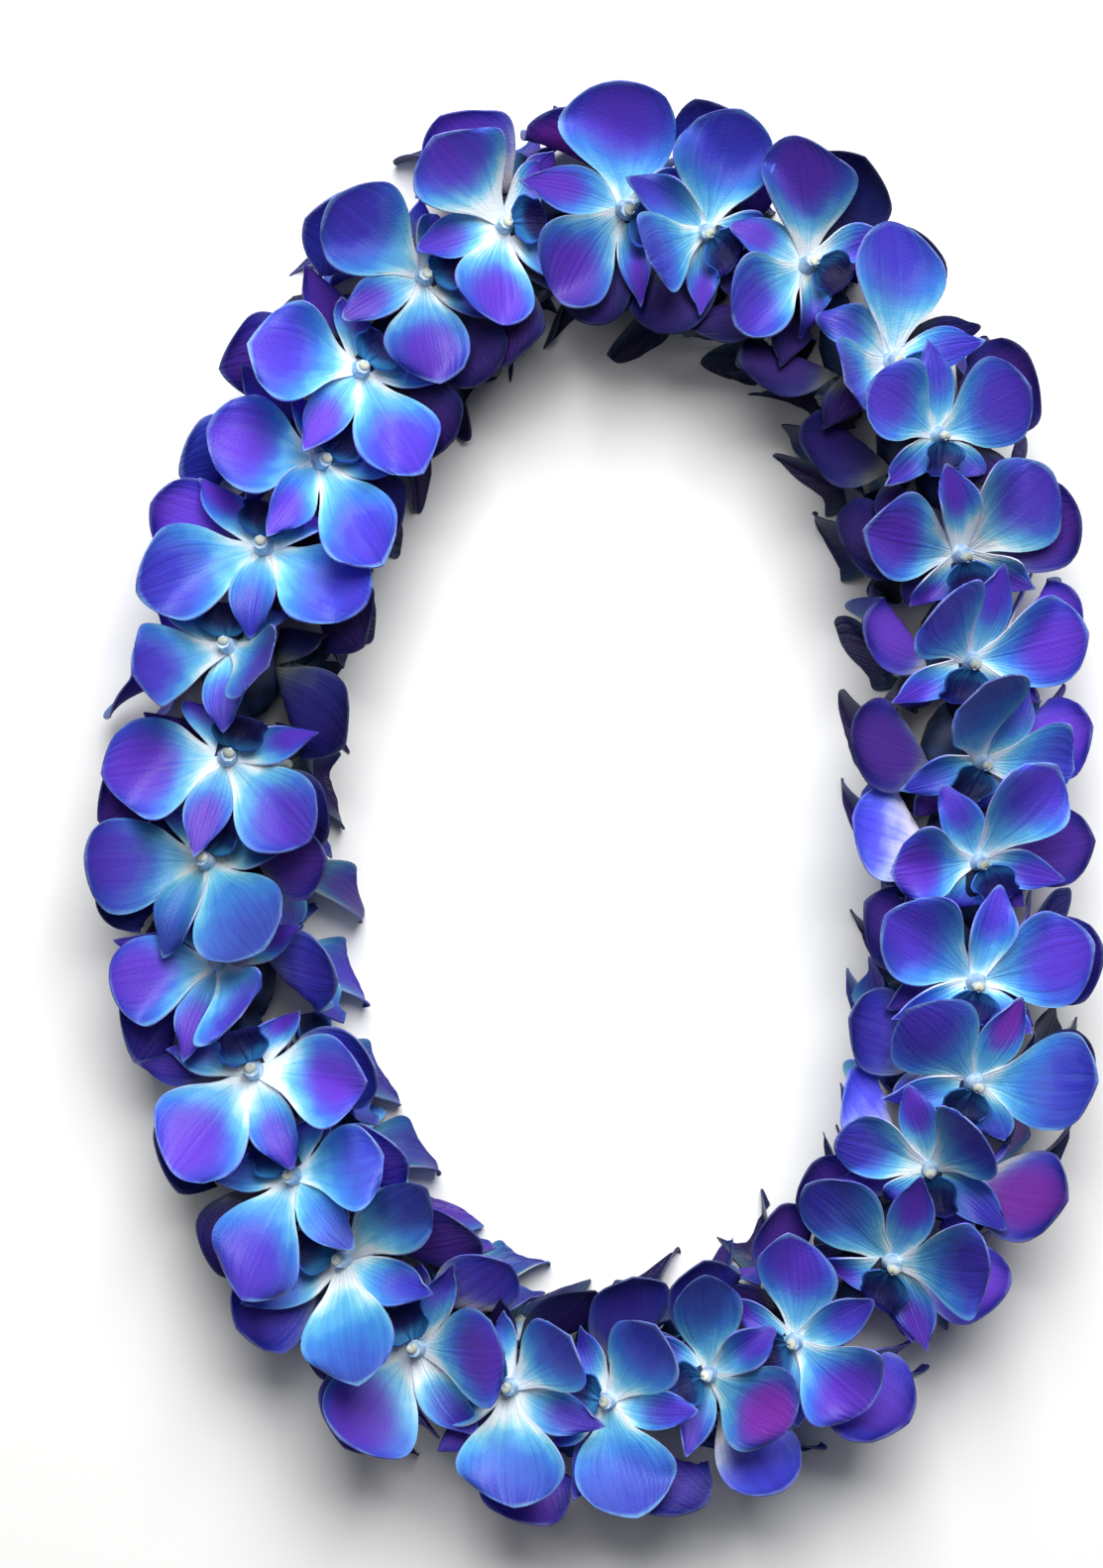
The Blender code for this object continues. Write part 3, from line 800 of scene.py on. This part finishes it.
# %% Column and cap
def extruded_post(name, corners, rings, skin):
    """A closed post from rings of (radius, shift in x, height), each extruded from the last."""
    clear_selection()
    radius, lean, height = rings[0]
    bpy.ops.mesh.primitive_circle_add(vertices=corners, radius=radius, fill_type="NGON",
                                      location=(lean, 0, height))
    made = bpy.context.object
    bpy.ops.object.transform_apply(location=True)
    bpy.ops.object.mode_set(mode="EDIT")
    bpy.ops.mesh.select_all(action="SELECT")
    for (r0, x0, z0), (r1, x1, z1) in zip(rings, rings[1:]):
        bpy.ops.mesh.extrude_region_move(TRANSFORM_OT_translate={"value": (x1 - x0, 0, z1 - z0)})
        bpy.ops.transform.resize(value=(r1 / r0, r1 / r0, 1), center_override=(x1, 0, z1))
    bpy.ops.mesh.select_all(action="SELECT")
    bpy.ops.mesh.normals_make_consistent(inside=False)
    bpy.ops.object.mode_set(mode="OBJECT")
    made.name = name
    made.data.name = name
    made.data.materials.append(skin)
    return made


POST_CORNERS = 8
COLUMN_RINGS = ((3.2, -0.2, -0.6), (2.9, -0.3, 1.0), (2.3, -0.5, 3.2), (2.15, -0.7, 5.2), (2.0, -1.0, 6.6))
column = extruded_post("column_pattern", POST_CORNERS, COLUMN_RINGS, column_skin)

CAP_MERIDIANS, CAP_RINGS = 12, 8
CAP_SIZE = (1.5, 1.7, 1.0)
CAP_PLACE = (-1.5, 0.0, 6.8)
CAP_GROOVE, CAP_GROOVE_WIDE = 0.5, 0.3
clear_selection()
bpy.ops.mesh.primitive_uv_sphere_add(segments=CAP_MERIDIANS, ring_count=CAP_RINGS, radius=1.0,
                                     location=(0, 0, 0))
cap = bpy.context.object
cap.data.materials.append(cap_skin)
# The groove between the two halves of the cap is deepest on the side towards the lip.
for vertex in cap.data.vertices:
    to_lip = 0.5 - 0.5 * vertex.co.x
    groove = 1 - CAP_GROOVE * math.exp(-(vertex.co.y / CAP_GROOVE_WIDE) ** 2) * to_lip
    vertex.co = Vector([CAP_PLACE[k] + CAP_SIZE[k] * vertex.co[k] * groove for k in range(3)])
heart = join([column, cap], "heart_pattern")
print("column and cap:", len(heart.data.polygons), "faces")

# %% [markdown]
# The neck and stalk. Behind the throat the bloom has a chin and narrows into its stalk, which the
# needle passes through. The pattern is a straight post, one unit long, that each bloom bends from
# its throat down to the thread and stretches along the lei for the chin. The three stalks of a
# whorl cross the thread one after the other, and their fat necks, painted near black as shade,
# close the heart of the lei.

# %% Stalk
# Each ring is (radius in millimetres, shift, share of the way from the end to the throat).
STALK_RINGS = ((2.2, 0.0, 0.0), (4.2, 0.0, 0.12), (5.2, 0.0, 0.3), (5.6, 0.0, 0.58), (5.2, 0.0, 0.84),
               (3.6, 0.0, 1.0))
stalk = extruded_post("stalk_pattern", POST_CORNERS, STALK_RINGS, stalk_shade_skin)
print("stalk:", len(stalk.data.polygons), "faces")
STALK_END = -2.6
STALK_STEP = PITCH / COLUMNS
STALK_BEND = 1.5
THROAT_GAP = 0.2
CHIN = 2.0


def stalk_point(bloom, co):
    """A point of the stalk: co.z runs from the end at 0 to the throat at 1."""
    root = Vector(((bloom.whorl + 0.5) * PITCH + STALK_STEP * (bloom.column - 1), STALK_END))
    throat = Vector((bloom.s, HUB_RADII[bloom.column] + THROAT_GAP))
    share = co.z
    s = root.x + (throat.x - root.x) * share ** STALK_BEND + co.x * CHIN
    radius = root.y + (throat.y - root.y) * share
    c, n = math.cos(bloom.around), math.sin(bloom.around)
    return in_tube(s, radius * n - co.y * c, pressed(radius * c + co.y * n))


# %% [markdown]
# All ninety blooms. The blades are bent into place as thin sheets, then Solidify gives them their
# real thickness with the underside in its own material, and the column and stalk are joined on.
# Each blade also gets a mood: how violet, how much further the pale throat runs, how light, and
# whether it is one of the few magenta ones. How light is partly random tone and partly painted
# shade: the side columns, the inner side of the head end and the petals on the table are darker.

# %% Make the blooms
BLADE_THICK = 0.5
SMOOTH_ANGLE = 50.0
# The seed of a bloom's finer draws, made as its first one was.
WHORL_MOOD_SEED = 7000
COLUMN_MOOD_SEED = 70
MOOD_SEED = 40
# The ranges that a bloom's mood is drawn from, and how far each of its blades may differ from it.
VIOLET = (0.25, 1.1)
PALER = (-0.3, 0.4)
# The side columns draw a darker light mood than the top column: painted shade.
LIGHT_TOP, LIGHT_SIDE = (0.4, 1.0), (0.0, 0.6)
OWN_VIOLET, OWN_PALER, OWN_LIGHT = (-0.35, 0.35), (-0.2, 0.3), (-0.2, 0.2)
FRILL = (0.5, 1.0)
# The inner column of blooms is painted darker towards the head end of the lei, as shade.
INNER = 2
INNER_SHADE = 0.9
# Column and blade of the petals that hang down to the table, in the shade of the rest.
LOWER_PETALS = {(1, 0), (2, 2)}
LOWER_SHADE = 0.3
# Whorl, column and blade of the petals that took hardly any dye, and their mood.
PALEST = {(29, 2, 0), (26, 2, 0)}
PALEST_MOOD = (0.3, 1.0, 1.0)
# Whorl, column and blade of the petals that came out magenta, and how strongly.
MAGENTA = {(7, 1, 2): 0.8, (23, 0, 0): 0.8, (27, 0, 1): 0.7, (26, 1, 1): 0.5, (26, 1, 2): 0.8}


def copied(source, name):
    """A copy of a pattern with a mesh of its own."""
    made = bpy.data.objects.new(name, source.data.copy())
    bpy.context.scene.collection.objects.link(made)
    return made


def make_bloom(whorl, col):
    """One finished bloom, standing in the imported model's place."""
    bloom = Bloom(whorl, col)
    fine = random.Random(WHORL_MOOD_SEED * (whorl + 1) + COLUMN_MOOD_SEED * col + MOOD_SEED)
    blades = [Blade(kind, bloom.rng, fine, CLOSING[col]) for kind in BLADES]
    violet = fine.uniform(*VIOLET)
    paler = fine.uniform(*PALER)
    # Side columns are painted darker than the top one, as shade.
    light = fine.uniform(*(LIGHT_TOP if col == 0 else LIGHT_SIDE))
    # Painted shade: the inner column is darkened towards the head end of the lei.
    if col == INNER:
        light -= INNER_SHADE * max(0.0, math.sin(2 * math.pi * bloom.s / LOOP))
    moods = []
    for number in range(LIP + 1):
        own = (violet + fine.uniform(*OWN_VIOLET), paler + fine.uniform(*OWN_PALER),
               light + fine.uniform(*OWN_LIGHT))
        # Painted shade: the petals that hang down to the table are darkened.
        if (col, number) in LOWER_PETALS:
            own = (own[0], own[1], own[2] - LOWER_SHADE)
        if (whorl, col, number) in PALEST:
            own = PALEST_MOOD
        moods.append([min(max(v, 0.0), 1.0) for v in own] + [MAGENTA.get((whorl, col, number), 0.0)])
    frill, start = fine.uniform(*FRILL), fine.uniform(0.0, TURN)
    name = f"bloom_{whorl + 1:02d}_{col + 1}"
    sheet = copied(pattern, name)
    mood = sheet.data.attributes.new("mood", "FLOAT_COLOR", "POINT")
    for vertex, number, item in zip(sheet.data.vertices, blade_of, mood.data):
        u, t = vertex.co.x, (vertex.co.y + 1) / 2
        if number == LIP:
            flat = lip_point(u, t, frill, start)
        else:
            flat = blades[number].point(u, t)
            if number in SIDE_SEPALS:
                flat = (flat[0], flat[1], min(flat[2], lip_room(flat[0], flat[1])))
        vertex.co = to_model(bloom.at(*flat))
        item.color = moods[number]
    clear_selection()
    sheet.select_set(True)
    bpy.context.view_layer.objects.active = sheet
    thick = sheet.modifiers.new("thickness", "SOLIDIFY")
    thick.thickness = BLADE_THICK * MM
    thick.offset = 0.0
    thick.material_offset = 1
    bpy.ops.object.modifier_apply(modifier=thick.name)
    post = copied(heart, name + "_heart")
    for vertex in post.data.vertices:
        vertex.co = to_model(bloom.at(*vertex.co))
    neck = copied(stalk, name + "_stalk")
    for vertex in neck.data.vertices:
        vertex.co = to_model(stalk_point(bloom, vertex.co))
    made = join([sheet, post, neck], name)
    for vertex in made.data.vertices:
        vertex.co.z = max(vertex.co.z, 0.0)
    bpy.ops.object.shade_smooth_by_angle(angle=math.radians(SMOOTH_ANGLE))
    return made


blooms = []
for whorl in range(WHORLS):
    for col in range(COLUMNS):
        bloom_piece = make_bloom(whorl, col)
        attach(bloom_piece, "root")
        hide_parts(f"whorl_{whorl + 1:02d}")
        blooms.append(bloom_piece)
for source in (pattern, heart, stalk):
    bpy.data.objects.remove(source, do_unlink=True)
print("blooms:", len(blooms), "faces each:", len(blooms[0].data.polygons))

# %% [markdown]
# The thread. Stringing thread is two yarns twisted round each other. Each yarn is a closed curve
# with a round bevel, wound round the middle line of the loop, and both are made a mesh.

# %% Thread
# In millimetres: a yarn's radius, how far it stands off the middle line, and one turn of the twist.
YARN_R = 0.3
YARN_OUT = 0.27
TWIST = 4.2
TURNS = round(LOOP / TWIST)
STEPS_A_TURN = 7
STEPS = TURNS * STEPS_A_TURN


def yarn(start):
    """One yarn of the thread as a curve made a mesh."""
    line = bpy.data.curves.new("yarn", "CURVE")
    line.dimensions = "3D"
    line.bevel_depth = YARN_R * MM
    line.bevel_resolution = 1
    spline = line.splines.new("POLY")
    spline.points.add(STEPS - 1)
    spline.use_cyclic_u = True
    for k in range(STEPS):
        a = start + 2 * math.pi * TURNS * k / STEPS
        p = in_tube(LOOP * k / STEPS, YARN_OUT * math.sin(a), AXIS_Z + YARN_OUT * math.cos(a))
        spline.points[k].co = (*to_model(p), 1.0)
    made = bpy.data.objects.new("yarn", line)
    bpy.context.scene.collection.objects.link(made)
    clear_selection()
    made.select_set(True)
    bpy.context.view_layer.objects.active = made
    bpy.ops.object.convert(target="MESH")
    return bpy.context.object


thread = join([yarn(0.0), yarn(math.pi)], "stringing_thread")
thread.data.materials.clear()
thread.data.materials.append(cotton)
bpy.ops.object.shade_smooth()
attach(thread, "root")
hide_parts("thread")
print("thread:", len(thread.data.polygons), "faces")

# %% [markdown]
# Floor, light and camera. The lei lies on a plain pale floor under soft studio light that comes
# mostly from the far end. The camera looks straight down with the far end of the oval at the top.

# %% Floor
FLOOR_SIZE = 10.0
FLOOR_TONE = "#F4F4F2"
clear_selection()
bpy.ops.mesh.primitive_plane_add(size=FLOOR_SIZE, location=(0, 0, 0))
floor = bpy.context.object
floor.name = "floor"
paper, _, paper_shader = finish("pale floor")
paper_shader.inputs["Base Color"].default_value = tone(FLOOR_TONE)
paper_shader.inputs["Roughness"].default_value = MATT
floor.data.materials.append(paper)


# %% Light
# Each light: its name, its place and size in metres, and its power in watts.
LIGHTS = (
    ("key light", (0.15, 1.1, 1.5), 1.3, 56.0),
    ("fill light", (-0.3, 0.3, 1.9), 1.0, 5.0),
)
SKY_TONE = "#E8ECF4"
SKY_STRENGTH = 0.06


def soft_light(name, place, size, power):
    """A square area light aimed at the middle of the lei."""
    made = bpy.data.objects.new(name, bpy.data.lights.new(name, "AREA"))
    made.data.size = size
    made.data.energy = power
    made.location = place
    made.rotation_euler = (-Vector(place)).to_track_quat("-Z", "Y").to_euler()
    bpy.context.scene.collection.objects.link(made)


for light in LIGHTS:
    soft_light(*light)
# The standard view keeps the saturated blues, which the default one would turn grey.
bpy.context.scene.view_settings.view_transform = "Standard"
world = bpy.data.worlds.new("studio")
bpy.context.scene.world = world
world.use_nodes = True
sky = world.node_tree.nodes["Background"]
sky.inputs["Color"].default_value = tone(SKY_TONE)
sky.inputs["Strength"].default_value = SKY_STRENGTH
print("lights:", len(LIGHTS), "floor, m:", FLOOR_SIZE)

# %% Camera
# In metres: how high the camera hangs, the long side of what it frames at the height of the
# flowers' middle, that height, and how far it stands off the middle of the thread.
CAMERA_HEIGHT = 1.2
FRAME_LONG = 0.439
FRAMED_HEIGHT = 0.022
AIM = (-0.0122, 0.00575)
SENSOR = 36.0
lens = bpy.data.cameras.new("camera")
lens.sensor_width = SENSOR
lens.lens = SENSOR * (CAMERA_HEIGHT - FRAMED_HEIGHT) / FRAME_LONG
camera = bpy.data.objects.new("camera", lens)
middle = (low_corner + high_corner) / 2
camera.location = (middle.x + AIM[0], middle.y + AIM[1], CAMERA_HEIGHT)
bpy.context.scene.collection.objects.link(camera)
bpy.context.scene.camera = camera
print("lens, mm:", round(lens.lens, 1))
